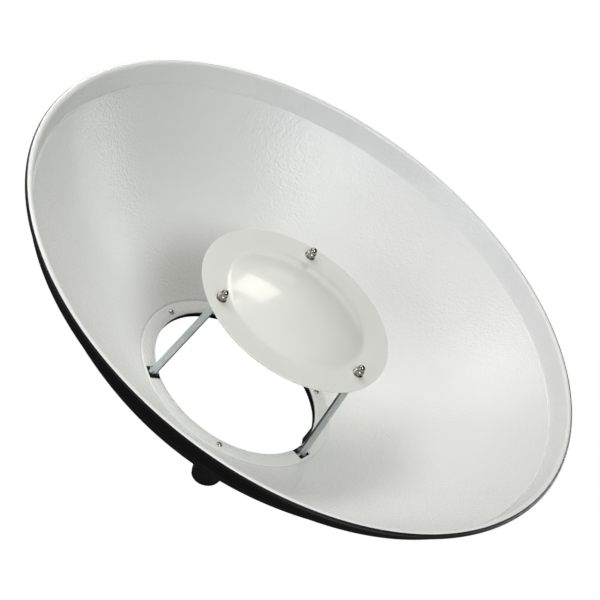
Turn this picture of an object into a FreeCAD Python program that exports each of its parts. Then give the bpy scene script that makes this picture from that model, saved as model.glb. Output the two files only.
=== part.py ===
import FreeCAD, Part
import math
import os

import Sketcher
from FreeCAD import Placement, Rotation, Vector

# A studio-flash beauty dish: a spun sheet bowl on a cast mount ring, with a domed deflector
# plate on three posts in front of the throat and one lock screw in the side of the ring.
#
# Frame: the origin is the centre of the mount ring's back face. +Z runs along the dish's axis
# to its mouth, so the dish rests on its back face. Lengths are millimetres, angles degrees.

DIMENSIONS = {
    # The bowl. Its wall is one arc of a circle, whose centre is given as a radius and a height.
    "sheet_thickness": 1.0,
    "rim_radius": 254.0,
    "bead_height": 149.5,
    "bead_radius": 3.2,
    "bead_end_angle": 260.0,
    "band_angle": 72.0,
    "ledge_height": 135.0,
    "wall_centre_radius": -48.4,
    "wall_centre_height": 377.9,
    "wall_arc_radius": 377.5,
    "flange_height": 26.2,
    "throat_radius": 76.4,
    "notch_radius": 86.8,
    "notch_width": 13.0,
    # The mount ring behind the bowl's flange: a shallow collar all round, and a deep saddle on
    # the lock screw's side, which ends this far beyond the axis.
    "ring_radius": 88.0,
    "seat_radius": 78.0,
    "saddle_radius": 78.6,
    "lip_thickness": 4.0,
    "collar_depth": 6.4,
    "saddle_reach": 7.0,
    "ring_chamfer": 0.8,
    # The deflector plate. The posts lean unevenly, and hold it this far off the axis along X.
    "deflector_shift": 3.3,
    "deflector_height": 123.7,
    "deflector_radius": 87.3,
    "deflector_thickness": 1.2,
    "dome_foot_radius": 66.0,
    "dome_rise": 14.0,
    "dome_fillet": 12.0,
    # The posts, with what they stand on and what holds the deflector to them.
    "post_azimuth": 104.0,
    "post_foot_radius": 82.3,
    "post_nut_radius": 74.0,
    "post_flats": 6.0,
    "stud_radius": 1.95,
    "stud_depth": 4.6,
    "stud_rise": 6.8,
    "stud_hole_radius": 2.2,
    "bracket_thickness": 0.8,
    "bracket_width": 12.4,
    "bracket_inner_radius": 76.7,
    "bracket_outer_radius": 86.5,
    "foot_thickness": 2.0,
    "foot_width": 6.4,
    "foot_inner_radius": 78.0,
    "foot_outer_radius": 86.2,
    "rivet_offset": 4.7,
    "rivet_head_radius": 1.4,
    "rivet_head_height": 0.6,
    "rivet_radius": 0.9,
    "rivet_depth": 4.0,
    "washer_radius": 4.5,
    "washer_thickness": 0.8,
    "spring_washer_radius": 3.8,
    "spring_washer_thickness": 0.9,
    "split_width": 0.6,
    "split_tilt": 20.0,
    "nut_flats": 7.0,
    "nut_hex_height": 3.4,
    "nut_height": 8.0,
    "nut_dome_radius": 3.2,
    # The screws that hold the bowl to the ring.
    "screw_circle_radius": 82.5,
    "screw_radius": 1.45,
    "screw_depth": 4.4,
    "screw_head_radius": 2.6,
    "screw_head_height": 1.8,
    "screw_recess_width": 0.7,
    # The lock screw. Its distances run outwards from the dish's axis.
    "lock_height": 13.0,
    "lock_screw_radius": 2.97,
    "lock_bore_radius": 3.05,
    "lock_tip_radius": 1.6,
    "lock_tip_distance": 79.95,
    "lock_shoulder_distance": 81.7,
    "lock_screw_end": 107.3,
    "lock_screw_chamfer": 0.6,
    "bush_radius": 5.0,
    "bush_flange_radius": 7.2,
    "bush_start": 82.4,
    "bush_seat": 87.2,
    "bush_end": 88.7,
    "pad_radius": 4.9,
    "pad_face_distance": 78.4,
    "pad_back_distance": 81.4,
    "pad_socket_distance": 79.8,
    "pad_chamfer": 0.5,
    "knob_radius": 12.5,
    "knob_hub_radius": 7.0,
    "knob_hub_distance": 94.0,
    "knob_start": 95.0,
    "knob_end": 109.0,
    "knob_crown": 0.6,
    "knob_inner_round": 1.5,
    "knob_outer_round": 2.5,
    "flute_radius": 2.6,
    "flute_circle_radius": 14.3,
    # Clearances.
    "drill_clearance": 0.05,
    "washer_clearance": 0.15,
    "pad_clearance": 0.3,
    "blind_hole_clearance": 0.2,
}

POST_COUNT = 3
# From each post to the next screw of the bowl, halfway to the next post.
SCREW_STEP = 180 / POST_COUNT
FLUTE_COUNT = 10
# Each hexagonal post stops at its own angle when it is screwed in.
POST_TURNS = (8.0, 31.0, 17.0)
# Room for a cutting tool to start outside the metal, and to run out past its far side.
TOOL_RUN = 6.0
RUN_OUT = 1.0

doc = FreeCAD.newDocument("beauty_dish")
sheet = doc.addObject("Spreadsheet::Sheet", "dims")
for row, (alias, number) in enumerate(DIMENSIONS.items(), start=1):
    sheet.set(f"A{row}", alias)
    sheet.set(f"B{row}", str(number))
    sheet.setAlias(f"B{row}", alias)
doc.recompute()

# Heights and sizes that follow from the sheet, as expressions.
FLANGE_BACK = "(dims.flange_height - dims.sheet_thickness)"
LEDGE_BACK = "(dims.ledge_height - dims.sheet_thickness)"
BEAD_CENTRE_RADIUS = "(dims.rim_radius - dims.bead_radius)"
BRACKET_TOP = f"({FLANGE_BACK} + dims.bracket_thickness)"
FOOT_TOP = f"({BRACKET_TOP} + dims.foot_thickness)"
DEFLECTOR_UNDERSIDE = "(dims.deflector_height - dims.deflector_thickness)"
SPRING_WASHER_HEIGHT = "(dims.deflector_height + dims.washer_thickness)"
NUT_HEIGHT = f"({SPRING_WASHER_HEIGHT} + dims.spring_washer_thickness)"
NUT_CORNER_RADIUS = "(dims.nut_flats / 2 / cos(30))"

nodes = []


def value(expression):
    """The number that an expression on the sheet gives."""
    return float(sheet.evalExpression(expression))


def bind(item, sizes):
    """Bind an object's properties to expressions on the sheet."""
    for name, expression in sizes.items():
        item.setExpression(name, expression)
    return item


def station(azimuth, radius="0", height="0", across="0"):
    """A place at a radius, a height and a sideways offset, turned to face outwards."""
    turn = Rotation(Vector(0, 0, 1), azimuth)
    offset = Vector(value(radius), value(across), value(height))
    return Placement(turn.multVec(offset), turn)


def plate_station(azimuth, radius="0", height="0"):
    """A station about the deflector's own axis."""
    place = station(azimuth, radius, height)
    place.Base.x += value("dims.deflector_shift")
    return place


def lock_place():
    """The lock screw's line, which runs outwards from the dish's axis."""
    azimuth = math.radians(value("dims.post_azimuth - 180"))
    outwards = Vector(math.cos(azimuth), math.sin(azimuth), 0)
    return Placement(Vector(0, 0, value("dims.lock_height")), Rotation(Vector(0, 0, 1), outwards))


def origin_feature(body, role):
    return next(item for item in body.Origin.OriginFeatures if item.Role == role)


def new_body(label, place=None):
    body = doc.addObject("PartDesign::Body", label)
    body.Label = label
    body.Placement = place or Placement()
    nodes.append(body)
    return body


def arc_edge(start, end, radius, left, large):
    """The arc from start to end, with its centre on the left or right of the path."""
    chord = end - start
    normal = Vector(-chord.y, chord.x, 0).normalize()
    reach = math.sqrt(max(radius ** 2 - (chord.Length / 2) ** 2, 0))
    side = 1 if left != large else -1
    centre = (start + end) / 2 + normal * reach * side
    first, last = (start, end) if left else (end, start)
    angles = [math.atan2(point.y - centre.y, point.x - centre.x) for point in (first, last)]
    return Part.ArcOfCircle(Part.Circle(centre, Vector(0, 0, 1), radius), *angles)


def pin_point(sketch, edge, end, corner):
    """Hold an edge's end at a corner, whose two coordinates are expressions."""
    for axis, constraint, expression in ((-2, "DistanceX", corner[0]), (-1, "DistanceY", corner[1])):
        distance = value(expression)
        if abs(distance) < 1e-9:
            sketch.addConstraint(Sketcher.Constraint("PointOnObject", edge, end, axis))
        else:
            index = sketch.addConstraint(
                Sketcher.Constraint(constraint, -1, 1, edge, end, distance))
            sketch.setExpression(f"Constraints[{index}]", expression)


def draw_outline(body, plane, corners, arcs=None):
    """A closed sketch through corners. arcs gives (radius, left, large) for an edge's number."""
    arcs = arcs or {}
    sketch = body.newObject("Sketcher::SketchObject", f"{body.Label}_outline")
    sketch.AttachmentSupport = (origin_feature(body, plane), [""])
    sketch.MapMode = "FlatFace"
    points = [Vector(value(x), value(y), 0) for x, y in corners]
    ends = []
    for number, start in enumerate(points):
        finish = points[(number + 1) % len(points)]
        if number in arcs:
            radius, left, large = arcs[number]
            edge = sketch.addGeometry(arc_edge(start, finish, value(radius), left, large))
            index = sketch.addConstraint(Sketcher.Constraint("Radius", edge, value(radius)))
            sketch.setExpression(f"Constraints[{index}]", radius)
            ends.append((edge, 1, 2) if left else (edge, 2, 1))
        else:
            ends.append((sketch.addGeometry(Part.LineSegment(start, finish)), 1, 2))
    for number, (edge, first, _) in enumerate(ends):
        before, _, last = ends[number - 1]
        sketch.addConstraint(Sketcher.Constraint("Coincident", before, last, edge, first))
        pin_point(sketch, edge, first, corners[number])
    return sketch


def turned_body(label, corners, arcs=None, place=None):
    """A body of revolution. corners are (radius, height) pairs of expressions."""
    body = new_body(label, place)
    sketch = draw_outline(body, "XZ_Plane", corners, arcs)
    turned = body.newObject("PartDesign::Revolution", f"{label}_turned")
    turned.Profile = sketch
    turned.ReferenceAxis = (sketch, ["V_Axis"])
    turned.Angle = 360
    body.Tip = turned
    doc.recompute()
    return body


def cut(body, name, kind, sizes, place, count=1):
    """Cut a box or cylinder out of a body, repeated evenly around the body's Z axis."""
    before = body.Shape.Volume
    tool = body.newObject(f"PartDesign::Subtractive{kind}", f"{body.Label}_{name}")
    tool.Placement = place
    bind(tool, sizes)
    doc.recompute()
    if count > 1:
        pattern = body.newObject("PartDesign::PolarPattern", f"{body.Label}_{name}_pattern")
        pattern.Originals = [tool]
        pattern.Axis = (origin_feature(body, "Z_Axis"), [""])
        pattern.Angle = 360
        pattern.Occurrences = count
        body.Tip = pattern
        doc.recompute()
    if body.Shape.Volume >= before:
        raise RuntimeError(f"{name} cuts nothing from {body.Label}")


def drill_down(body, name, radius, depth, place, count=1):
    """Drill down from a place above the metal, which stands TOOL_RUN over the hole's mouth."""
    below = Placement(place.Base - Vector(0, 0, value(depth)), place.Rotation)
    sizes = {"Radius": radius, "Height": f"{depth} + {TOOL_RUN}"}
    cut(body, name, "Cylinder", sizes, below, count)


def joined(label, kind, shapes, place):
    """A boolean of parts, kept as one node."""
    result = doc.addObject(f"Part::{kind}", label)
    result.Label = label
    if kind == "Cut":
        result.Base, result.Tool = shapes
    else:
        result.Shapes = shapes
    result.Placement = place
    nodes.append(result)
    return result


def wall_radius(height, offset="0"):
    """The wall's radius at a height, on the arc that is offset outwards from its front."""
    return (f"(dims.wall_centre_radius + sqrt((dims.wall_arc_radius + {offset})^2"
            f" - ({height} - dims.wall_centre_height)^2))")


def bead_point(angle, radius):
    """A point of the rolled bead, at an angle and a radius about the bead's centre."""
    return (f"({BEAD_CENTRE_RADIUS} + {radius} * cos({angle}))",
            f"(dims.bead_height + {radius} * sin({angle}))")


def band_radius(height, radius):
    """The radius of the band below the bead, on the side that meets the bead at a radius."""
    top_radius, top_height = bead_point("dims.band_angle + 90", radius)
    return f"({top_radius} - ({top_height} - {height}) / tan(dims.band_angle))"


def make_dish_shell():
    inner_bead = "(dims.bead_radius - dims.sheet_thickness)"
    back_arc = "dims.wall_arc_radius + dims.sheet_thickness"
    corners = [
        ("dims.throat_radius", FLANGE_BACK),
        (wall_radius(FLANGE_BACK, "dims.sheet_thickness"), FLANGE_BACK),
        (wall_radius(LEDGE_BACK, "dims.sheet_thickness"), LEDGE_BACK),
        (band_radius(LEDGE_BACK, inner_bead), LEDGE_BACK),
        bead_point("dims.band_angle + 90", inner_bead),
        bead_point("dims.bead_end_angle", inner_bead),
        bead_point("dims.bead_end_angle", "dims.bead_radius"),
        bead_point("dims.band_angle + 90", "dims.bead_radius"),
        (band_radius("dims.ledge_height", "dims.bead_radius"), "dims.ledge_height"),
        (wall_radius("dims.ledge_height"), "dims.ledge_height"),
        (wall_radius("dims.flange_height"), "dims.flange_height"),
        ("dims.throat_radius", "dims.flange_height"),
    ]
    arcs = {
        1: (back_arc, True, False),
        4: (inner_bead, False, True),
        6: ("dims.bead_radius", True, True),
        9: ("dims.wall_arc_radius", False, False),
    }
    azimuth = value("dims.post_azimuth")
    shell = turned_body("dish_shell", corners, arcs, station(azimuth))
    notch = {"Length": f"dims.notch_radius - dims.throat_radius + {TOOL_RUN}",
             "Width": "dims.notch_width",
             "Height": f"dims.sheet_thickness + 2 * {TOOL_RUN}"}
    corner = station(0, f"dims.throat_radius - {TOOL_RUN}", f"{FLANGE_BACK} - {TOOL_RUN}",
                     "-dims.notch_width / 2")
    cut(shell, "notch", "Box", notch, corner, POST_COUNT)
    drill_down(shell, "screw_hole", "dims.screw_radius + dims.washer_clearance",
               f"dims.sheet_thickness + {RUN_OUT}",
               station(SCREW_STEP, "dims.screw_circle_radius", "dims.flange_height"), POST_COUNT)


def make_mount_ring():
    lip_back = f"({FLANGE_BACK} - dims.lip_thickness)"
    collar_back = f"({FLANGE_BACK} - dims.collar_depth)"
    corners = [
        ("dims.saddle_radius + dims.ring_chamfer", "0"),
        ("dims.ring_radius - dims.ring_chamfer", "0"),
        ("dims.ring_radius", "dims.ring_chamfer"),
        ("dims.ring_radius", f"{FLANGE_BACK} - dims.ring_chamfer"),
        ("dims.ring_radius - dims.ring_chamfer", FLANGE_BACK),
        ("dims.throat_radius", FLANGE_BACK),
        ("dims.throat_radius", lip_back),
        ("dims.seat_radius", lip_back),
        ("dims.seat_radius", collar_back),
        ("dims.saddle_radius", collar_back),
        ("dims.saddle_radius", "dims.ring_chamfer"),
    ]
    azimuth = value("dims.post_azimuth")
    ring = turned_body("mount_ring", corners, place=station(azimuth))
    reach = f"dims.ring_radius + {TOOL_RUN}"
    corner = Placement(Vector(value("dims.saddle_reach"), -value(reach), -TOOL_RUN), Rotation())
    beyond = {"Length": reach, "Width": f"2 * ({reach})", "Height": f"{collar_back} + {TOOL_RUN}"}
    cut(ring, "open_side", "Box", beyond, corner)
    holes = (
        ("stud_hole", "dims.stud_radius", "dims.stud_depth",
         station(0, "dims.post_foot_radius", FLANGE_BACK)),
        ("rivet_hole", "dims.rivet_radius", "dims.rivet_depth",
         station(0, "dims.post_foot_radius", FLANGE_BACK, "-dims.rivet_offset")),
        ("screw_hole", "dims.screw_radius", "dims.screw_depth",
         station(SCREW_STEP, "dims.screw_circle_radius", FLANGE_BACK)),
    )
    for name, radius, depth, place in holes:
        drill_down(ring, name, f"{radius} + dims.drill_clearance",
                   f"{depth} + dims.blind_hole_clearance", place, POST_COUNT)
    inwards = Rotation(Vector(0, 0, 1), Vector(-1, 0, 0))
    bores = (
        ("pad_pocket", "dims.pad_radius + dims.pad_clearance",
         f"dims.seat_radius - {TOOL_RUN}", "dims.bush_start"),
        ("bush_bore", "dims.bush_radius + dims.drill_clearance",
         f"dims.bush_start - {RUN_OUT}", f"dims.ring_radius + {TOOL_RUN}"),
        ("spot_face", "dims.bush_flange_radius + dims.pad_clearance",
         "dims.bush_seat", f"dims.ring_radius + {TOOL_RUN}"),
    )
    for name, radius, start, end in bores:
        place = Placement(Vector(-value(start), 0, value("dims.lock_height")), inwards)
        cut(ring, name, "Cylinder", {"Radius": radius, "Height": f"{end} - ({start})"}, place)


def make_throat_screw(number, azimuth):
    corners = [
        ("0", "-(dims.screw_depth + dims.sheet_thickness)"),
        ("dims.screw_radius", "-(dims.screw_depth + dims.sheet_thickness)"),
        ("dims.screw_radius", "0"),
        ("dims.screw_head_radius", "0"),
        ("dims.screw_head_radius", "dims.screw_head_height / 3"),
        ("0", "dims.screw_head_height"),
    ]
    crown = "(dims.screw_head_radius^2 + (dims.screw_head_height * 2 / 3)^2)"
    arcs = {4: (f"{crown} / (dims.screw_head_height * 4 / 3)", True, False)}
    place = station(azimuth, "dims.screw_circle_radius", "dims.flange_height")
    screw = turned_body(f"throat_screw_{number}", corners, arcs, place)
    long_side, short_side = "dims.screw_head_radius", "dims.screw_recess_width"
    for name, length, width in (("slot_a", long_side, short_side), ("slot_b", short_side, long_side)):
        corner = Placement(Vector(-value(length) / 2, -value(width) / 2,
                                  value("dims.screw_head_height / 2")), Rotation())
        cut(screw, name, "Box", {"Length": length, "Width": width,
                                 "Height": "dims.screw_head_height"}, corner)


def make_post(number, azimuth, turn):
    """A leaning hexagonal post, mitred flat at both ends, with an upright stud at each end."""
    lean = (f"dims.post_nut_radius - dims.post_foot_radius + dims.deflector_shift * cos({azimuth})",
            f"-dims.deflector_shift * sin({azimuth})")
    hexagon = doc.addObject("Part::RegularPolygon", f"post_{number}_hexagon")
    hexagon.Polygon = 6
    hexagon.Placement = Placement(Vector(value("dims.post_foot_radius"), 0, value(FOOT_TOP)),
                                  Rotation(Vector(0, 0, 1), turn))
    bind(hexagon, {"Circumradius": "dims.post_flats / 2 / cos(30)"})
    shaft = doc.addObject("Part::Extrusion", f"post_{number}_shaft")
    shaft.Base = hexagon
    shaft.DirMode = "Custom"
    shaft.Solid = True
    bind(shaft, {"Dir.x": lean[0], "Dir.y": lean[1],
                 "Dir.z": f"{DEFLECTOR_UNDERSIDE} - {FOOT_TOP}"})
    studs = []
    for name, (x, y), start, end in (
            ("foot_stud", ("0", "0"), f"{FLANGE_BACK} - dims.stud_depth", FOOT_TOP),
            ("top_stud", lean, DEFLECTOR_UNDERSIDE, "dims.deflector_height + dims.stud_rise")):
        stud = doc.addObject("Part::Cylinder", f"post_{number}_{name}")
        stud.Placement = Placement(Vector(value(f"dims.post_foot_radius + {x}"), value(y),
                                          value(start)), Rotation())
        bind(stud, {"Radius": "dims.stud_radius", "Height": f"{end} - ({start})"})
        studs.append(stud)
    joined(f"post_{number}", "MultiFuse", [shaft] + studs, station(azimuth))


def padded_body(label, corners, arcs, thickness, place):
    """A flat plate of an outline, with its underside at the place."""
    body = new_body(label, place)
    sketch = draw_outline(body, "XY_Plane", corners, arcs)
    pad = body.newObject("PartDesign::Pad", f"{label}_plate")
    pad.Profile = sketch
    bind(pad, {"Length": thickness})
    body.Tip = pad
    doc.recompute()
    return body


def make_foot(number, azimuth):
    """The post's foot plate: square at the throat and round at its outer end."""
    half = "dims.foot_width / 2"
    inner = "dims.foot_inner_radius - dims.post_foot_radius"
    bend = f"dims.foot_outer_radius - dims.post_foot_radius - {half}"
    corners = [(inner, f"-{half}"), (bend, f"-{half}"), (f"{bend} + {half}", "0"), (bend, half),
               (inner, half)]
    quarter = (half, True, False)
    place = station(azimuth, "dims.post_foot_radius", BRACKET_TOP)
    foot = padded_body(f"post_foot_{number}", corners, {1: quarter, 2: quarter},
                       "dims.foot_thickness", place)
    drill_down(foot, "stud_hole", "dims.stud_radius + dims.drill_clearance",
               f"dims.foot_thickness + {RUN_OUT}", station(0, height="dims.foot_thickness"))


def make_bracket(number, azimuth):
    """The black plate in the flange's notch that the foot stands on."""
    half = "dims.bracket_width / 2"
    inner = "dims.bracket_inner_radius - dims.post_foot_radius"
    outer = "dims.bracket_outer_radius - dims.post_foot_radius"
    corners = [(inner, f"-{half}"), (outer, f"-{half}"), (outer, half), (inner, half)]
    place = station(azimuth, "dims.post_foot_radius", FLANGE_BACK)
    bracket = padded_body(f"foot_bracket_{number}", corners, {}, "dims.bracket_thickness", place)
    depth = f"dims.bracket_thickness + {RUN_OUT}"
    drill_down(bracket, "stud_hole", "dims.stud_radius + dims.drill_clearance", depth,
               station(0, height="dims.bracket_thickness"))
    drill_down(bracket, "rivet_hole", "dims.rivet_radius + dims.drill_clearance", depth,
               station(0, height="dims.bracket_thickness", across="-dims.rivet_offset"))


def make_rivet(number, azimuth):
    depth = "-(dims.rivet_depth + dims.bracket_thickness)"
    dimple = "dims.rivet_radius / 2"
    edge = "dims.rivet_head_height / 3"
    corners = [
        ("0", depth),
        ("dims.rivet_radius", depth),
        ("dims.rivet_radius", "0"),
        ("dims.rivet_head_radius", "0"),
        ("dims.rivet_head_radius", edge),
        (dimple, "dims.rivet_head_height"),
        (dimple, edge),
        ("0", edge),
    ]
    place = station(azimuth, "dims.post_foot_radius", BRACKET_TOP, "-dims.rivet_offset")
    turned_body(f"bracket_rivet_{number}", corners, place=place)


def make_deflector():
    """A flat flanged plate with a shallow dome that stands towards the mouth."""
    dome = "((dims.dome_foot_radius^2 + dims.dome_rise^2) / (2 * dims.dome_rise) - dims.dome_fillet)"
    under_dome = f"({dome} - dims.deflector_thickness)"
    dome_centre = f"(dims.dome_rise - {dome})"
    reach = f"({dome} + dims.dome_fillet)"
    under_fillet = "(dims.dome_fillet + dims.deflector_thickness)"

    def blend(radius):
        """Where the dome, of this radius, turns into its fillet."""
        return (f"dims.dome_foot_radius * {radius} / {reach}",
                f"{dome_centre} + (dims.dome_fillet - {dome_centre}) * {radius} / {reach}")

    underside = "-dims.deflector_thickness"
    corners = [
        ("0", "dims.dome_rise"),
        blend(dome),
        ("dims.dome_foot_radius", "0"),
        ("dims.deflector_radius", "0"),
        ("dims.deflector_radius", underside),
        ("dims.dome_foot_radius", underside),
        blend(under_dome),
        ("0", "dims.dome_rise - dims.deflector_thickness"),
    ]
    arcs = {
        0: (dome, False, False),
        1: ("dims.dome_fillet", True, False),
        5: (under_fillet, False, False),
        6: (under_dome, True, False),
    }
    place = plate_station(value("dims.post_azimuth"), height="dims.deflector_height")
    plate = turned_body("deflector_plate", corners, arcs, place)
    drill_down(plate, "stud_hole", "dims.stud_hole_radius",
               f"dims.deflector_thickness + {RUN_OUT}", station(0, "dims.post_nut_radius"),
               POST_COUNT)


def ring_corners(inner, outer, height):
    return [(inner, "0"), (outer, "0"), (outer, height), (inner, height)]


def make_deflector_fixings(number, azimuth):
    """The washer, spring washer and cap nut on a post's top stud."""
    bore = "(dims.stud_radius + dims.washer_clearance)"
    turned_body(f"deflector_washer_{number}",
                ring_corners(bore, "dims.washer_radius", "dims.washer_thickness"),
                place=plate_station(azimuth, "dims.post_nut_radius", "dims.deflector_height"))
    spring = turned_body(f"spring_washer_{number}",
                         ring_corners(bore, "dims.spring_washer_radius",
                                      "dims.spring_washer_thickness"),
                         place=plate_station(azimuth, "dims.post_nut_radius",
                                             SPRING_WASHER_HEIGHT))
    gap = Placement(Vector(0, -value("dims.split_width / 2"), -RUN_OUT / 2),
                    Rotation(Vector(1, 0, 0), value("dims.split_tilt")))
    cut(spring, "split", "Box", {"Length": f"dims.spring_washer_radius + {RUN_OUT}",
                                 "Width": "dims.split_width",
                                 "Height": f"dims.spring_washer_thickness + {RUN_OUT}"}, gap)
    hexagon = bind(doc.addObject("Part::Prism", f"cap_nut_{number}_hexagon"),
                   {"Circumradius": NUT_CORNER_RADIUS, "Height": "dims.nut_hex_height"})
    bevel = bind(doc.addObject("Part::Cone", f"cap_nut_{number}_bevel"),
                 {"Radius1": f"{NUT_CORNER_RADIUS} + dims.nut_hex_height",
                  "Radius2": "dims.nut_flats / 2", "Height": "dims.nut_hex_height"})
    hexagon.Polygon = 6
    bevelled = doc.addObject("Part::MultiCommon", f"cap_nut_{number}_bevelled")
    bevelled.Shapes = [hexagon, bevel]
    neck = bind(doc.addObject("Part::Cylinder", f"cap_nut_{number}_neck"),
                {"Radius": "dims.nut_dome_radius", "Height": "dims.nut_height - dims.nut_dome_radius"})
    dome = bind(doc.addObject("Part::Sphere", f"cap_nut_{number}_dome"),
                {"Radius": "dims.nut_dome_radius",
                 "Placement.Base.z": "dims.nut_height - dims.nut_dome_radius"})
    blank = doc.addObject("Part::MultiFuse", f"cap_nut_{number}_blank")
    blank.Shapes = [bevelled, neck, dome]
    thread = bind(doc.addObject("Part::Cylinder", f"cap_nut_{number}_thread"),
                  {"Radius": "dims.stud_radius + dims.drill_clearance",
                   "Height": f"dims.nut_height - dims.nut_dome_radius + {RUN_OUT}"})
    joined(f"cap_nut_{number}", "Cut", (blank, thread),
           plate_station(azimuth, "dims.post_nut_radius", NUT_HEIGHT))


def make_lock_screw():
    chamfer = "dims.lock_screw_chamfer"
    corners = [
        ("0", "dims.lock_tip_distance"),
        ("dims.lock_tip_radius", "dims.lock_tip_distance"),
        ("dims.lock_tip_radius", "dims.lock_shoulder_distance"),
        (f"dims.lock_screw_radius - {chamfer}", "dims.lock_shoulder_distance"),
        ("dims.lock_screw_radius", f"dims.lock_shoulder_distance + {chamfer}"),
        ("dims.lock_screw_radius", "dims.lock_screw_end"),
        ("0", "dims.lock_screw_end"),
    ]
    turned_body("lock_screw", corners, place=lock_place())


def make_lock_bush():
    corners = [
        ("dims.lock_bore_radius", "dims.bush_start"),
        ("dims.bush_radius", "dims.bush_start"),
        ("dims.bush_radius", "dims.bush_seat"),
        ("dims.bush_flange_radius", "dims.bush_seat"),
        ("dims.bush_flange_radius", "dims.bush_end"),
        ("dims.lock_bore_radius", "dims.bush_end"),
    ]
    turned_body("lock_bush", corners, place=lock_place())


def make_pressure_pad():
    """The swivelling pad on the lock screw's tip, which slides without turning."""
    chamfer = "dims.pad_chamfer"
    socket = "(dims.lock_tip_radius + dims.drill_clearance)"
    corners = [
        ("0", "dims.pad_face_distance"),
        (f"dims.pad_radius - {chamfer}", "dims.pad_face_distance"),
        ("dims.pad_radius", f"dims.pad_face_distance + {chamfer}"),
        ("dims.pad_radius", "dims.pad_back_distance"),
        (socket, "dims.pad_back_distance"),
        (socket, "dims.pad_socket_distance"),
        ("0", "dims.pad_socket_distance"),
    ]
    turned_body("pressure_pad", corners, place=lock_place())


def make_lock_knob():
    bore = "(dims.lock_screw_radius + dims.drill_clearance)"
    bore_end = "(dims.lock_screw_end + dims.blind_hole_clearance)"
    inner, outer = "dims.knob_inner_round", "dims.knob_outer_round"
    crown_edge = f"(dims.knob_radius - {outer})"
    corners = [
        (bore, "dims.knob_hub_distance"),
        ("dims.knob_hub_radius", "dims.knob_hub_distance"),
        ("dims.knob_hub_radius", "dims.knob_start"),
        (f"dims.knob_radius - {inner}", "dims.knob_start"),
        ("dims.knob_radius", f"dims.knob_start + {inner}"),
        ("dims.knob_radius", f"dims.knob_end - {outer}"),
        (crown_edge, "dims.knob_end"),
        ("0", "dims.knob_end + dims.knob_crown"),
        ("0", bore_end),
        (bore, bore_end),
    ]
    arcs = {
        3: (inner, True, False),
        5: (outer, True, False),
        6: (f"({crown_edge}^2 + dims.knob_crown^2) / (2 * dims.knob_crown)", True, False),
    }
    knob = turned_body("lock_knob", corners, arcs, lock_place())
    start = station(0, "dims.flute_circle_radius", "dims.knob_hub_distance")
    length = f"dims.knob_end - dims.knob_hub_distance + {TOOL_RUN}"
    cut(knob, "flute", "Cylinder", {"Radius": "dims.flute_radius", "Height": length}, start,
        FLUTE_COUNT)


def build():
    make_dish_shell()
    make_mount_ring()
    make_deflector()
    for index in range(POST_COUNT):
        number = index + 1
        azimuth = value("dims.post_azimuth") + index * 360 / POST_COUNT
        make_throat_screw(number, azimuth + SCREW_STEP)
        make_bracket(number, azimuth)
        make_rivet(number, azimuth)
        make_foot(number, azimuth)
        make_post(number, azimuth, POST_TURNS[index])
        make_deflector_fixings(number, azimuth)
    make_lock_screw()
    make_lock_bush()
    make_pressure_pad()
    make_lock_knob()
    doc.recompute()


def check_and_export():
    for item in doc.Objects:
        if "Invalid" in item.State or "Error" in item.State:
            raise RuntimeError(f"{item.Label} has state {item.State}")
    for node in nodes:
        if node.Shape.isNull() or not node.Shape.isValid() or not node.Shape.Solids:
            raise RuntimeError(f"{node.Label} has no valid solid")
    os.makedirs("parts", exist_ok=True)
    for node in nodes:
        node.Shape.exportStep(f"parts/{node.Label}.step")
        box = node.Shape.BoundBox
        print(f"{node.Label:20s} {node.Shape.Volume:10.1f} mm3  "
              f"z {box.ZMin:7.2f} to {box.ZMax:7.2f}  solids {len(node.Shape.Solids)}")


build()
check_and_export()
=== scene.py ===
import math

import bpy
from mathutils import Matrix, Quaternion, Vector


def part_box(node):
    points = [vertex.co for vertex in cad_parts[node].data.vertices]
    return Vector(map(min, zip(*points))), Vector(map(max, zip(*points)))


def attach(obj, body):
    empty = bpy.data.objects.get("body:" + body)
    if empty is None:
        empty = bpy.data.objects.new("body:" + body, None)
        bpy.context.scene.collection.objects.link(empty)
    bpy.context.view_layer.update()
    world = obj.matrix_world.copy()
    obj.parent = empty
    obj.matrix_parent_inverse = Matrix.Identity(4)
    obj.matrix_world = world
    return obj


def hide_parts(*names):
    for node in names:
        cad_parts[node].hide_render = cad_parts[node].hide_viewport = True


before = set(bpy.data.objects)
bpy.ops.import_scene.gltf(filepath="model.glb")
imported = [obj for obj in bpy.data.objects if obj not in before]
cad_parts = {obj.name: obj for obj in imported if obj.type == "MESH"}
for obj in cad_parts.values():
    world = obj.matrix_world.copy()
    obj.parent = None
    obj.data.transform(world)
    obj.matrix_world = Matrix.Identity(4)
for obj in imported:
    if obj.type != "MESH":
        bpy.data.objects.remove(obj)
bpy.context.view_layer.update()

# The looks of a studio-flash beauty dish, on the CAD frame: metres, +Z towards the dish's mouth.

MM = 0.001
TURN = 2 * math.pi
NUMBERS = (1, 2, 3)

# These repeat the CAD's own dimensions. A pair is a radius from the axis and a height.
SHEET = 1.0 * MM
WALL_CENTRE = (-48.4 * MM, 377.9 * MM)
WALL_ARC = 377.5 * MM
FLANGE_Z = 26.2 * MM
LEDGE_Z = 135.0 * MM
THROAT_R = 76.4 * MM
NOTCH_R = 86.8 * MM
NOTCH_HALF = 6.5 * MM
BEAD_CENTRE = (250.8 * MM, 149.5 * MM)
BEAD_R = 3.2 * MM
BEAD_START = math.radians(162)
BEAD_END = math.radians(-100)

PLATE_SHEET = 1.2 * MM
DOME_FOOT_R = 66.0 * MM
DOME_RISE = 14.0 * MM
DOME_FILLET = 12.0 * MM

POST_AZIMUTHS = [math.radians(angle) for angle in (104, -136, -16)]
POST_TURNS = [math.radians(angle) for angle in (8, 31, 17)]
POST_FOOT_R = 82.3 * MM
POST_FLATS = 6.0 * MM
STUD_R = 1.95 * MM

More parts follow.
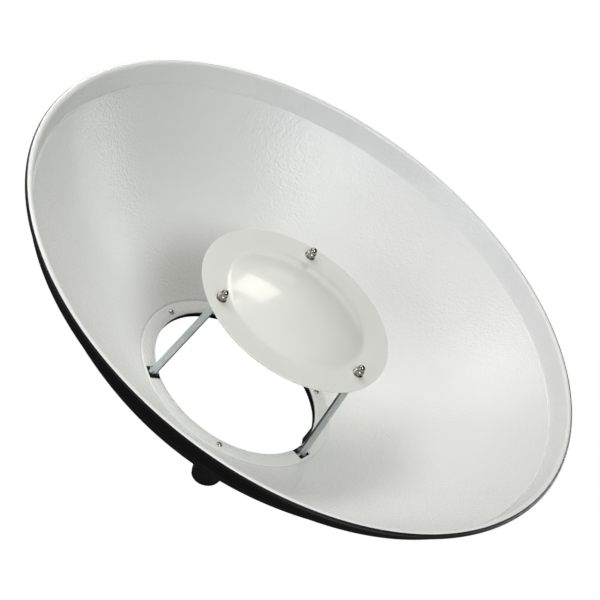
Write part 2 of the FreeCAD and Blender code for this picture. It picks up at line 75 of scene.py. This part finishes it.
# The lock screw's distances run outwards from the dish's axis. Its pitch is the one in the record.
LOCK_AZIMUTH = math.radians(-76)
LOCK_Z = 13.0 * MM
SCREW_R = 2.97 * MM
SCREW_PITCH = 1.0 * MM
SCREW_CHAMFER = 0.6 * MM
TIP_R = 1.6 * MM
TIP_DISTANCE = 79.95 * MM
SHOULDER_DISTANCE = 81.7 * MM
SCREW_END = 107.3 * MM

# These are the visual model's own. The bowl has a groove between its flange and its wall, and a
# ledge that slopes.
GROOVE_R = 89.3 * MM
GROOVE_HALF = 1.3 * MM
GROOVE_DEPTH = 0.5 * MM
WALL_FOOT_Z = 27.0 * MM
LEDGE_DROP = 1.3 * MM
BAND_SHARES = (0.3, 0.6, 0.9)
# Around the bead's section, the white paint ends at PAINT_EDGE, more or less PAINT_DRIFT. It
# stops soonest at one azimuth and reaches furthest over the bead on the opposite side.
PAINT_EDGE = math.radians(61)
PAINT_DRIFT = math.radians(18)
PAINT_SOONEST = math.radians(30)

# A post's corners are rounded over this reach. The bends are the points' places, as shares of it,
# and the middle of a corner is drawn in by up to the last share.
HEX_CORNER = 0.45 * MM
HEX_BENDS = (-1, -0.4, 0.4, 1)
HEX_DRAWN_IN = 0.25
POST_CHAMFER = 0.25 * MM

THREAD_END = 94.5 * MM
THREAD_DEPTH = 0.55 * MM
CREST_HALF_SHARE = 1 / 12
SHANK_R = SCREW_R - 0.3 * MM
TIP_CHAMFER = 0.2 * MM

# How finely the curves are divided.
DISH_COLUMNS = 288
WALL_STEPS = 56
WHITE_STEPS = 14
BLACK_STEPS = 24
CURL_STEPS = 18
PLATE_COLUMNS = 192
DOME_STEPS = 40
FILLET_STEPS = 10
STUD_STEPS = 32
SCREW_COLUMNS = 40
THREAD_ROWS_PER_TURN = 12
EASE_STEPS = 5
# The point that keeps a side flat beside an eased corner, as a multiple of the corner's reach.
EASE_GUARD = 1.5


# ---------------------------------------------------------------- materials

# The middle range of a noise, which is what gets spread over a colour or a roughness.
NOISE_START, NOISE_END = 0.3, 0.7
# A noise's scale along a drawn rod, and the length that a radian counts as around a turned part.
DRAWN_ALONG = 0.03
TURNED_AROUND = 0.4 * MM
# A Mix node's sockets for colours: the factor, the two that it mixes, and the result.
MIX_FACTOR, MIX_FROM, MIX_TO, MIX_RESULT = 0, 6, 7, 2


def add(tree, kind, inputs=None, **settings):
    """A shader node, with its sockets set or linked."""
    node = tree.nodes.new("ShaderNode" + kind)
    for name, setting in settings.items():
        setattr(node, name, setting)
    for socket, content in (inputs or {}).items():
        if isinstance(content, bpy.types.NodeSocket):
            tree.links.new(content, node.inputs[socket])
        else:
            node.inputs[socket].default_value = content
    return node


def new_material(name, metallic=0.0, **sockets):
    """A Principled material. Returns it with its tree, its shader and its coordinates."""
    material = bpy.data.materials.new(name)
    material.use_nodes = True
    tree = material.node_tree
    shader = tree.nodes["Principled BSDF"]
    shader.inputs["Metallic"].default_value = metallic
    for socket, content in sockets.items():
        shader.inputs[socket.replace("_", " ")].default_value = content
    return material, tree, shader, add(tree, "TexCoord").outputs["Object"]


def drawn_coords(tree, coords):
    """Coordinates that draw a noise out along a rod."""
    scale = (1, 1, DRAWN_ALONG)
    return add(tree, "Mapping", {"Vector": coords, "Scale": scale}).outputs["Vector"]


def turned_coords(tree, coords):
    """Coordinates that follow a lathe's tool: radius, height and a little of the angle."""
    split = add(tree, "SeparateXYZ", {"Vector": coords})
    flat = add(tree, "CombineXYZ", {"X": split.outputs["X"], "Y": split.outputs["Y"]})
    radius = add(tree, "VectorMath", {0: flat.outputs["Vector"]}, operation="LENGTH")
    angle = add(tree, "Math", {0: split.outputs["Y"], 1: split.outputs["X"]}, operation="ARCTAN2")
    slow = add(tree, "Math", {0: angle.outputs[0], 1: TURNED_AROUND}, operation="MULTIPLY")
    return add(tree, "CombineXYZ", {"X": radius.outputs["Value"], "Y": split.outputs["Z"],
                                    "Z": slow.outputs[0]}).outputs["Vector"]


def noise(tree, coords, size, detail=2.0, rough=0.5):
    """Noise whose lumps are about this size."""
    return add(tree, "TexNoise", {"Vector": coords, "Scale": 1 / size, "Detail": detail,
                                  "Roughness": rough}).outputs["Fac"]


def spread(tree, fac, low, high, start=NOISE_START, end=NOISE_END):
    """A noise's middle range, spread between two values."""
    return add(tree, "MapRange", {"Value": fac, "From Min": start, "From Max": end,
                                  "To Min": low, "To Max": high}).outputs["Result"]


def shade(tree, fac, low, high):
    """A colour that goes from low to high with a noise."""
    ramp = add(tree, "ValToRGB", {"Fac": fac})
    stops = ((NOISE_START, low), (NOISE_END, high))
    for element, (place, colour) in zip(ramp.color_ramp.elements, stops):
        element.position = place
        element.color = (*colour, 1)
    return ramp.outputs["Color"]


def bump(tree, height, depth, strength, over=None):
    """A normal that is raised by a noise, on top of another normal if there is one."""
    inputs = {"Height": height, "Distance": depth, "Strength": strength}
    if over is not None:
        inputs["Normal"] = over
    return add(tree, "Bump", inputs).outputs["Normal"]


def finish_with(tree, shader, colour, roughness, normal):
    """Link what every painted, plated or moulded surface here has."""
    for socket, content in (("Base Color", colour), ("Roughness", roughness), ("Normal", normal)):
        tree.links.new(content, shader.inputs[socket])


def edge_worn(tree, colour, worn, radius):
    """The colour, rubbed towards the worn one along sharp edges."""
    rounded = add(tree, "Bevel", {"Radius": radius}, samples=4).outputs["Normal"]
    true = add(tree, "NewGeometry").outputs["Normal"]
    facing = add(tree, "VectorMath", {0: rounded, 1: true}, operation="DOT_PRODUCT")
    mask = spread(tree, facing.outputs["Value"], low=1.0, high=0.0, start=0.86, end=0.99)
    mix = add(tree, "Mix", {MIX_FACTOR: mask, MIX_FROM: colour, MIX_TO: (*worn, 1)},
              data_type="RGBA")
    return mix.outputs[MIX_RESULT]


def textured_white():
    """The bowl's inside: white stoving paint with a fine pebbled texture."""
    material, tree, shader, coords = new_material("dish_white_paint", IOR=1.48)
    pebbles = add(tree, "TexVoronoi",
                  {"Vector": coords, "Scale": 1 / (2.3 * MM), "Smoothness": 0.5},
                  feature="SMOOTH_F1").outputs["Distance"]
    grain = noise(tree, coords, size=1.1 * MM, rough=0.6)
    drift = noise(tree, coords, size=90 * MM, detail=3.0)
    colour = shade(tree, drift, low=(0.83, 0.835, 0.83), high=(0.87, 0.873, 0.865))
    pebbled = bump(tree, pebbles, depth=0.56 * MM, strength=0.5)
    normal = bump(tree, grain, depth=0.2 * MM, strength=0.4, over=pebbled)
    finish_with(tree, shader, colour, spread(tree, grain, low=0.17, high=0.27), normal)
    return material


def satin_black(name, size, depth, rough):
    """Black powder coat, with a grain of this size and depth."""
    material, tree, shader, coords = new_material(name, Specular_IOR_Level=0.16)
    grain = noise(tree, coords, size, detail=3.0, rough=0.6)
    drift = noise(tree, coords, size=60 * MM, detail=3.0)
    colour = shade(tree, drift, low=(0.005, 0.005, 0.0054), high=(0.008, 0.008, 0.0085))
    normal = bump(tree, grain, depth, strength=0.6)
    finish_with(tree, shader, colour, spread(tree, grain, *rough), normal)
    return material


def gloss_cream():
    """The deflector's smooth warm white enamel."""
    material, tree, shader, coords = new_material("deflector_enamel", IOR=1.5, Coat_Weight=0.7,
                                                  Coat_Roughness=0.10)
    flow = noise(tree, coords, size=9 * MM)
    drift = noise(tree, coords, size=45 * MM, detail=3.0)
    colour = shade(tree, drift, low=(0.85, 0.855, 0.815), high=(0.88, 0.885, 0.85))
    normal = bump(tree, flow, depth=0.05 * MM, strength=0.15)
    finish_with(tree, shader, colour, spread(tree, drift, low=0.30, high=0.38), normal)
    return material


def turned_black():
    """The mount ring: black paint over a turned casting, rubbed bright at its edges."""
    material, tree, shader, coords = new_material("ring_black_paint", Specular_IOR_Level=0.20)
    tool = noise(tree, turned_coords(tree, coords), size=0.35 * MM)
    cast = noise(tree, coords, size=1.1 * MM, detail=3.0, rough=0.6)
    paint = shade(tree, cast, low=(0.008, 0.008, 0.0084), high=(0.013, 0.013, 0.0136))
    colour = edge_worn(tree, paint, worn=(0.05, 0.05, 0.051), radius=0.4 * MM)
    rough_cast = bump(tree, cast, depth=0.10 * MM, strength=0.4)
    normal = bump(tree, tool, depth=0.05 * MM, strength=0.5, over=rough_cast)
    finish_with(tree, shader, colour, spread(tree, cast, low=0.38, high=0.52), normal)
    return material


def metal(name, low, high, worn, rough, size, depth, edge=0.25 * MM, drawn=False):
    """A plated or bare metal with fine marks, rubbed towards the worn colour at its edges."""
    material, tree, shader, coords = new_material(name, metallic=1.0)
    marks_at = drawn_coords(tree, coords) if drawn else coords
    marks = noise(tree, marks_at, size, detail=3.0, rough=0.6)
    cloud = noise(tree, coords, size=12 * MM, detail=3.0)
    colour = edge_worn(tree, shade(tree, cloud, low, high), worn, edge)
    normal = bump(tree, marks, depth, strength=0.5)
    finish_with(tree, shader, colour, spread(tree, marks, *rough), normal)
    return material


def moulded_plastic(name, low, high, rough, size, depth, **sockets):
    """A plastic with the fine grain of its mould."""
    material, tree, shader, coords = new_material(name, **sockets)
    grain = noise(tree, coords, size, detail=4.0, rough=0.6)
    drift = noise(tree, coords, size=15 * MM)
    normal = bump(tree, grain, depth, strength=0.7)
    finish_with(tree, shader, shade(tree, drift, low, high), spread(tree, grain, *rough), normal)
    return material


def dress(node, material):
    """Give a CAD node a material."""
    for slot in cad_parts[node].material_slots:
        slot.material = material


DISH_WHITE = textured_white()
DISH_BLACK = satin_black("dish_black_paint", size=0.7 * MM, depth=0.06 * MM, rough=(0.36, 0.48))
CREAM = gloss_cream()
RING_BLACK = turned_black()
BRACKET_BLACK = satin_black("bracket_black_paint", size=0.5 * MM, depth=0.04 * MM,
                            rough=(0.34, 0.48))
DRAWN_ZINC = metal("drawn_zinc_plate", low=(0.56, 0.60, 0.61), high=(0.66, 0.70, 0.71),
                   worn=(0.76, 0.78, 0.79), rough=(0.28, 0.38), size=0.35 * MM,
                   depth=0.004 * MM, drawn=True)
PRESSED_ZINC = metal("pressed_zinc_plate", low=(0.50, 0.53, 0.54), high=(0.62, 0.64, 0.64),
                     worn=(0.72, 0.73, 0.73), rough=(0.24, 0.38), size=0.5 * MM,
                     depth=0.015 * MM)
NICKEL = metal("polished_nickel", low=(0.28, 0.26, 0.24), high=(0.42, 0.39, 0.36),
               worn=(0.66, 0.64, 0.61), rough=(0.03, 0.08), size=1.2 * MM, depth=0.08 * MM,
               edge=0.15 * MM)
SCREW_STEEL = metal("screw_steel", low=(0.34, 0.33, 0.32), high=(0.46, 0.45, 0.43),
                    worn=(0.70, 0.69, 0.67), rough=(0.12, 0.24), size=0.4 * MM, depth=0.01 * MM,
                    edge=0.15 * MM)
BRASS = metal("turned_brass", low=(0.62, 0.42, 0.17), high=(0.72, 0.52, 0.24),
              worn=(0.82, 0.64, 0.34), rough=(0.22, 0.36), size=0.3 * MM, depth=0.01 * MM)
NYLON = moulded_plastic("nylon", low=(0.70, 0.69, 0.64), high=(0.76, 0.75, 0.71),
                        rough=(0.42, 0.55), size=0.6 * MM, depth=0.02 * MM,
                        Subsurface_Weight=0.2, Subsurface_Scale=0.001)
KNOB_BLACK = moulded_plastic("knob_black_plastic", low=(0.010, 0.010, 0.0105),
                             high=(0.015, 0.015, 0.0156), rough=(0.38, 0.55), size=0.45 * MM,
                             depth=0.05 * MM, Specular_IOR_Level=0.22)

for node, material in (
        ("mount_ring", RING_BLACK), ("lock_bush", BRASS), ("pressure_pad", NYLON),
        ("lock_knob", KNOB_BLACK)):
    dress(node, material)
for number in NUMBERS:
    for stem, material in (
            ("throat_screw", SCREW_STEEL), ("foot_bracket", BRACKET_BLACK),
            ("bracket_rivet", PRESSED_ZINC), ("post_foot", PRESSED_ZINC),
            ("deflector_washer", SCREW_STEEL), ("spring_washer", SCREW_STEEL),
            ("cap_nut", NICKEL)):
        dress(f"{stem}_{number}", material)


# ------------------------------------------------------------------ meshes

def piece(name, points, faces, materials, body, replaced, sharp):
    """A mesh piece that stands for a CAD node. faces are (corners, material number)."""
    mesh = bpy.data.meshes.new(name)
    mesh.from_pydata(points, [], [corners for corners, _ in faces])
    for material in materials:
        mesh.materials.append(material)
    mesh.polygons.foreach_set("material_index", [number for _, number in faces])
    mesh.shade_smooth()
    mesh.set_sharp_from_angle(angle=math.radians(sharp))
    mesh.validate()
    item = bpy.data.objects.new(name, mesh)
    bpy.context.scene.collection.objects.link(item)
    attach(item, body)
    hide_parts(replaced)


def bridge(points, faces, rings):
    """Append rings of points, joined one to the next, with both ends closed."""
    count = len(rings[0])
    base = len(points)
    for ring in rings:
        points.extend(ring)
    for level in range(len(rings) - 1):
        low = base + level * count
        for corner in range(count):
            after = (corner + 1) % count
            faces.append(((low + corner, low + after, low + count + after, low + count + corner), 0))
    faces.append((tuple(base + corner for corner in reversed(range(count))), 0))
    top = base + (len(rings) - 1) * count
    faces.append((tuple(top + corner for corner in range(count)), 0))


def arc(centre, radius, start, end, steps):
    """Points of an arc, both ends included."""
    angles = [start + (end - start) * step / steps for step in range(steps + 1)]
    return [(centre[0] + radius * math.cos(angle), centre[1] + radius * math.sin(angle))
            for angle in angles]


def circle(radius, steps):
    """Points around a circle."""
    angles = [TURN * step / steps for step in range(steps)]
    return [(radius * math.cos(angle), radius * math.sin(angle)) for angle in angles]


def eased(before, corner, after, reach):
    """A corner rounded off over this reach, with a point on each side that keeps its side flat."""
    corner = Vector(corner)
    inwards = (Vector(before) - corner).normalized() * reach
    outwards = (Vector(after) - corner).normalized() * reach
    curve = []
    for step in range(EASE_STEPS + 1):
        share = step / EASE_STEPS
        first = (corner + inwards).lerp(corner, share)
        curve.append(tuple(first.lerp(corner.lerp(corner + outwards, share), share)))
    return [tuple(corner + inwards * EASE_GUARD), *curve, tuple(corner + outwards * EASE_GUARD)]


def wall_curve(low, high, radius):
    """Points of the bowl's wall between two heights, evenly spaced along it."""
    start, end = (math.asin((height - WALL_CENTRE[1]) / radius) for height in (low, high))
    return arc(WALL_CENTRE, radius, start, end, WALL_STEPS)


def bead_point(angle, radius):
    """A point around the bead's section."""
    return (BEAD_CENTRE[0] + radius * math.cos(angle), BEAD_CENTRE[1] + radius * math.sin(angle))


def band_foot(height, radius):
    """Where the band below the bead comes down to a height."""
    top = bead_point(BEAD_START, radius)
    return (top[0] - (top[1] - height) / math.tan(BEAD_START - TURN / 4), height)


def throat_edge(angle):
    """The flange's inner radius, with its three square notches."""
    off = min(abs(math.remainder(angle - azimuth, TURN)) for azimuth in POST_AZIMUTHS)
    if off <= math.atan2(NOTCH_HALF, NOTCH_R):
        return NOTCH_R / math.cos(off)
    return max(THROAT_R, NOTCH_HALF / math.sin(off))


def dish():
    """The spun bowl: a closed profile turned about the axis, white inside and black outside."""
    curl_r = BEAD_R - SHEET
    back_z = FLANGE_Z - SHEET
    lip = 0.2 * MM

    front = wall_curve(WALL_FOOT_Z, LEDGE_Z, WALL_ARC)
    flange_end = (GROOVE_R - GROOVE_HALF, FLANGE_Z)
    groove = (GROOVE_R, FLANGE_Z - GROOVE_DEPTH)
    ledge_foot = band_foot(LEDGE_Z - LEDGE_DROP, BEAD_R)
    bead_in = bead_point(BEAD_START, BEAD_R)
    inside = (eased((THROAT_R, FLANGE_Z), flange_end, groove, reach=0.4 * MM)
              + eased(flange_end, groove, front[0], reach=0.5 * MM)
              + eased(groove, front[0], front[2], reach=0.5 * MM)
              + front[2:-1]
              + eased(front[-2], front[-1], ledge_foot, reach=0.75 * MM)
              + eased(front[-1], ledge_foot, bead_in, reach=0.35 * MM)
              + [tuple(Vector(ledge_foot).lerp(Vector(bead_in), share)) for share in BAND_SHARES])

    back = wall_curve(back_z, LEDGE_Z - SHEET, WALL_ARC + SHEET)
    back_foot = band_foot(LEDGE_Z - LEDGE_DROP - SHEET, curl_r)
    outside = (arc(BEAD_CENTRE, curl_r, BEAD_END, BEAD_START, CURL_STEPS)
               + eased(bead_point(BEAD_START, curl_r), back_foot, back[-1], reach=0.5 * MM)
               + eased(back_foot, back[-1], back[-2], reach=0.3 * MM)
               + back[-2:1:-1]
               + eased(back[2], back[0], (THROAT_R, back_z), reach=0.8 * MM))

    def profile(paint_edge):
        """The whole outline, where the bead's white meets its black at this angle."""
        return (inside + arc(BEAD_CENTRE, BEAD_R, BEAD_START, paint_edge, WHITE_STEPS)
                + arc(BEAD_CENTRE, BEAD_R, paint_edge, BEAD_END, BLACK_STEPS)[1:] + outside)

    # The flange's rows, from its back round the throat's edge to its front: a height, how far
    # the row stands off the edge, and its share of the way out to the groove.
    flange_back = [(back_z, 0, 0.5), (back_z, lip, 0)]
    flange_front = [(back_z + lip, 0, 0), (FLANGE_Z - lip, 0, 0), (FLANGE_Z, lip, 0),
                    (FLANGE_Z, 0, 0.5)]
    outline_rows = len(profile(PAINT_EDGE))
    rows = outline_rows + len(flange_back + flange_front)
    black_rows = range(len(inside) + WHITE_STEPS, outline_rows + len(flange_back))

    # Even columns, and one more at each corner of a notch.
    notch_corners = (math.atan2(NOTCH_HALF, NOTCH_R), math.asin(NOTCH_HALF / THROAT_R))
    columns = sorted(
        {TURN * column / DISH_COLUMNS for column in range(DISH_COLUMNS)}
        | {(azimuth + side * corner) % TURN for azimuth in POST_AZIMUTHS
           for side in (-1, 1) for corner in notch_corners})

    points = []
    for angle in columns:
        edge = throat_edge(angle)
        outline = profile(PAINT_EDGE + PAINT_DRIFT * math.cos(angle - PAINT_SOONEST))
        rim = [(edge + off + (flange_end[0] - edge) * share, height)
               for height, off, share in flange_back + flange_front]
        points += [(radius * math.cos(angle), radius * math.sin(angle), height)
                   for radius, height in outline + rim]
    faces = []
    for column in range(len(columns)):
        after = (column + 1) % len(columns)
        for row in range(rows):
            above = (row + 1) % rows
            faces.append(((column * rows + row, column * rows + above,
                           after * rows + above, after * rows + row), int(row in black_rows)))
    piece("dish_bowl", points, faces, [DISH_WHITE, DISH_BLACK], "dish", "dish_shell",
          sharp=50)


def deflector():
    """The deflector: a flat flanged plate with a shallow dome and a softened edge."""
    low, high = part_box("deflector_plate")
    centre, plate_r = (low + high) / 2, (high.x - low.x) / 2
    top = high.z - DOME_RISE
    dome_r = (DOME_FOOT_R ** 2 + DOME_RISE ** 2) / (2 * DOME_RISE) - DOME_FILLET
    lean = math.asin(DOME_FOOT_R / (dome_r + DOME_FILLET))
    # The rings start just off the axis, and a small face closes the middle on each side.
    axis_gap = 0.003

    def face(below):
        """The dome and its fillet, from near the axis outwards, this far below the front."""
        return (arc((0, high.z - dome_r), dome_r - below, TURN / 4 - axis_gap, TURN / 4 - lean,
                    DOME_STEPS)
                + arc((DOME_FOOT_R, top + DOME_FILLET), DOME_FILLET + below, -TURN / 4 - lean,
                      -TURN / 4, FILLET_STEPS)[1:])

    front, back = face(0), face(PLATE_SHEET)
    upper, lower = (plate_r, top), (plate_r, top - PLATE_SHEET)
    profile = (back + eased(back[-1], lower, upper, reach=0.35 * MM)
               + eased(lower, upper, front[-1], reach=0.35 * MM) + front[::-1])
    rings = [[(centre.x + x, centre.y + y, height) for x, y in circle(radius, PLATE_COLUMNS)]
             for radius, height in profile]
    points, faces = [], []
    bridge(points, faces, rings)
    piece("deflector_dome", points, faces, [CREAM], "dish", "deflector_plate",
          sharp=50)


def rounded_hexagon(turn, inset):
    """Points around a post's hexagon, with its corners rounded a little."""
    tip = (POST_FLATS / 2 - inset) / math.cos(TURN / 12)
    points = []
    for side in range(6):
        for bend in HEX_BENDS:
            angle = turn + side * TURN / 6 + bend * HEX_CORNER / tip
            drawn_in = HEX_DRAWN_IN * (1 - bend ** 2) + abs(bend) / math.sqrt(3)
            radius = tip - HEX_CORNER * drawn_in
            points.append((radius * math.cos(angle), radius * math.sin(angle)))
    return points


def post(number):
    """A leaning hexagonal post with softened edges, and its upright studs."""
    azimuth, turn = POST_AZIMUTHS[number - 1], POST_TURNS[number - 1]
    low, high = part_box(f"post_{number}")
    foot_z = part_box(f"post_foot_{number}")[1].z
    plate_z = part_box("deflector_plate")[0].z
    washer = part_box(f"deflector_washer_{number}")
    cosine, sine = math.cos(azimuth), math.sin(azimuth)
    foot = Vector((POST_FOOT_R * cosine, POST_FOOT_R * sine))
    head = ((washer[0] + washer[1]) / 2).to_2d()

    def ring(outline, along, height):
        """An outline at a height, centred on the post's own line."""
        centre = foot.lerp(head, along)
        return [(centre.x + x * cosine - y * sine, centre.y + x * sine + y * cosine, height)
                for x, y in outline]

    def softened(start, end):
        """The heights of a rod's rings, with how far each is set in to soften the ends."""
        return ((start, POST_CHAMFER), (start + POST_CHAMFER, 0), (end - POST_CHAMFER, 0),
                (end, POST_CHAMFER))

    points, faces = [], []
    length = plate_z - foot_z
    bridge(points, faces, [ring(rounded_hexagon(turn, inset), height / length, foot_z + height)
                           for height, inset in softened(0, length)])
    for start, end, along in ((low.z, foot_z + POST_CHAMFER, 0),
                              (plate_z - POST_CHAMFER, high.z, 1)):
        bridge(points, faces, [ring(circle(STUD_R - inset, STUD_STEPS), along, height)
                               for height, inset in softened(start, end)])
    piece(f"hex_post_{number}", points, faces, [DRAWN_ZINC], "dish", f"post_{number}",
          sharp=28)


def thread_radius(distance, share):
    """The thread's radius, this far out and at this share of a turn. It starts on a chamfer."""
    turn = (distance / SCREW_PITCH - share) % 1
    drop = (abs(turn - 0.5) - CREST_HALF_SHARE) / (0.5 - CREST_HALF_SHARE)
    flank = SCREW_R - THREAD_DEPTH * min(1, max(0, drop))
    return min(flank, SCREW_R - SCREW_CHAMFER + distance - SHOULDER_DISTANCE)


def threaded_screw():
    """The lock screw: a plain tip, a real helical thread, and a plain shank inside the knob."""
    out = Vector((math.cos(LOCK_AZIMUTH), math.sin(LOCK_AZIMUTH), 0))
    side = Vector((-math.sin(LOCK_AZIMUTH), math.cos(LOCK_AZIMUTH), 0))
    up = Vector((0, 0, 1))
    shares = [column / SCREW_COLUMNS for column in range(SCREW_COLUMNS)]
    thread = THREAD_END - SHOULDER_DISTANCE
    count = round(thread / SCREW_PITCH * THREAD_ROWS_PER_TURN)
    rows = [(TIP_DISTANCE, [TIP_R - TIP_CHAMFER] * SCREW_COLUMNS),
            (TIP_DISTANCE + TIP_CHAMFER, [TIP_R] * SCREW_COLUMNS),
            (SHOULDER_DISTANCE, [TIP_R] * SCREW_COLUMNS)]
    for step in range(count + 1):
        distance = SHOULDER_DISTANCE + thread * step / count
        rows.append((distance, [thread_radius(distance, share) for share in shares]))
    rows += [(distance, [SHANK_R] * SCREW_COLUMNS) for distance in (THREAD_END, SCREW_END)]
    rings = [[tuple(out * distance + side * radius * math.cos(TURN * share)
                    + up * (LOCK_Z + radius * math.sin(TURN * share)))
              for share, radius in zip(shares, radii)] for distance, radii in rows]
    points, faces = [], []
    bridge(points, faces, rings)
    piece("lock_screw_threaded", points, faces, [PRESSED_ZINC], "lock_knob", "lock_screw",
          sharp=40)


dish()
deflector()
for number in NUMBERS:
    post(number)
threaded_screw()


# ------------------------------------------------------------------- stage

FLOOR_HALF = 6.0
FLOOR_Z = -0.5 * MM
PAPER_SIZE = 0.4
PAPER_DIMMEST = 0.97
WORLD_STRENGTH = 0.02

DISH_MIDDLE = Vector((0, 0, 0.1))
LIGHT_DISTANCE = 2.0
# Name, azimuth, elevation, size, spin, watts and colour of each softbox. The low ones stand
# below the rim, so none of their light falls straight into the bowl.
LIGHTS = (
    ("box_deflector", 120, 45.5, (0.64, 0.62), 45, 5.4, (1, 0.98, 0.86)),
    ("box_left_back", 162, 43, (0.9, 1.1), 0, 12.4, (1, 0.99, 0.97)),
    ("box_right_front", -54, 54, (1.0, 1.0), 0, 16.6, (0.96, 1, 0.99)),
    ("box_low_front", -120, 15, (1.0, 0.7), 0, 8.6, (0.90, 0.90, 1)),
    ("box_left", -152, 36, (0.9, 0.9), 0, 2.5, (0.97, 0.93, 1)),
    ("strip_right_back", 52.5, 19, (0.05, 0.80), -41, 4.4, (0.88, 0.95, 1)),
    ("box_back", 103, 26, (0.4, 0.3), 0, 0.3, (1, 1, 1)),
    ("low_right_back", 40, -0.6, (1.6, 0.11), 0, 24, (1, 1, 1)),
    ("low_left_back", 140, -0.6, (1.6, 0.11), 0, 24, (1, 1, 1)),
    ("low_left", -160, -0.6, (1.0, 0.11), 0, 6, (1, 1, 1)),
    ("low_right_front", -35, -0.6, (1.4, 0.11), 0, 16, (1, 1, 1)),
    ("box_top", -90, 80, (1.0, 1.0), 0, 5.4, (1, 0.95, 0.86)),
)

CAMERA_DISTANCE = 2.1658
CAMERA_ELEVATION = math.radians(35.08)
CAMERA_ROLL = math.radians(37.25)
RIM_CENTRE = Vector((0, 0, 0.150))
AIM = Vector((0.0011, 0, 0.1331))
SENSOR_WIDTH_MM = 36
LENS_MM = 160.03


def floor(name, colour, glow, seen, lights_up):
    """A wide plain floor. The camera sees one, with its backdrop, and light bounces off the other."""
    material, tree, shader, coords = new_material(
        name, Roughness=0.9, Specular_IOR_Level=0.0, Emission_Color=(1, 1, 1, 1),
        Emission_Strength=glow)
    paper = shade(tree, noise(tree, coords, PAPER_SIZE), [colour * PAPER_DIMMEST] * 3, [colour] * 3)
    tree.links.new(paper, shader.inputs["Base Color"])
    mesh = bpy.data.meshes.new(name)
    corners = ((-FLOOR_HALF, -FLOOR_HALF), (FLOOR_HALF, -FLOOR_HALF),
               (FLOOR_HALF, FLOOR_HALF), (-FLOOR_HALF, FLOOR_HALF))
    faces = [(0, 1, 2, 3)]
    if seen:
        faces += [(side, (side + 1) % 4, (side + 1) % 4 + 4, side + 4) for side in range(4)]
    mesh.from_pydata([(x, y, z) for z in (0, FLOOR_HALF) for x, y in corners], [], faces)
    mesh.materials.append(material)
    item = bpy.data.objects.new(name, mesh)
    item.location.z = FLOOR_Z
    item.visible_camera = seen
    for ray in ("diffuse", "glossy", "transmission", "shadow"):
        setattr(item, f"visible_{ray}", lights_up)
    bpy.context.scene.collection.objects.link(item)


def area_light(name, azimuth, elevation, size, spin, energy, colour):
    """A softbox that faces the dish from an azimuth and an elevation, in degrees."""
    light = bpy.data.lights.new(name, "AREA")
    light.shape = "RECTANGLE"
    light.size, light.size_y = size
    light.energy = energy
    light.color = colour
    item = bpy.data.objects.new(name, light)
    around, above = math.radians(azimuth), math.radians(elevation)
    back = Vector((math.cos(around) * math.cos(above), math.sin(around) * math.cos(above),
                   math.sin(above)))
    item.location = DISH_MIDDLE + back * LIGHT_DISTANCE
    item.rotation_mode = "QUATERNION"
    item.rotation_quaternion = ((-back).to_track_quat("-Z", "Y")
                                @ Quaternion((0, 0, 1), math.radians(spin)))
    bpy.context.scene.collection.objects.link(item)


def streak_only(name):
    """Keep a light to the streak of gloss that it draws on the bowl."""
    strip = bpy.data.objects[name]
    strip.visible_diffuse = False
    strip.light_linking.receiver_collection = bpy.data.collections.new("streaked")
    strip.light_linking.receiver_collection.objects.link(bpy.data.objects["dish_bowl"])


def place_camera():
    """The camera looks down at the mouth, rolled so that the dish leans to the right."""
    camera = bpy.data.objects.new("camera", bpy.data.cameras.new("camera"))
    camera.data.sensor_width = SENSOR_WIDTH_MM
    camera.data.lens = LENS_MM
    camera.location = RIM_CENTRE + CAMERA_DISTANCE * Vector(
        (0, -math.cos(CAMERA_ELEVATION), math.sin(CAMERA_ELEVATION)))
    camera.rotation_mode = "QUATERNION"
    camera.rotation_quaternion = ((AIM - camera.location).to_track_quat("-Z", "Y")
                                  @ Quaternion((0, 0, 1), CAMERA_ROLL))
    bpy.context.scene.collection.objects.link(camera)
    bpy.context.scene.camera = camera


for settings in LIGHTS:
    area_light(*settings)
streak_only("strip_right_back")

world = bpy.data.worlds.new("studio")
world.use_nodes = True
backdrop = world.node_tree.nodes["Background"]
backdrop.inputs["Color"].default_value = (1, 1, 1, 1)
backdrop.inputs["Strength"].default_value = WORLD_STRENGTH
bpy.context.scene.world = world
floor("floor_white", colour=0.5, glow=1.0, seen=True, lights_up=False)
floor("floor_bounce", colour=0.12, glow=0.0, seen=False, lights_up=True)

place_camera()
bpy.context.scene.view_settings.view_transform = "Standard"
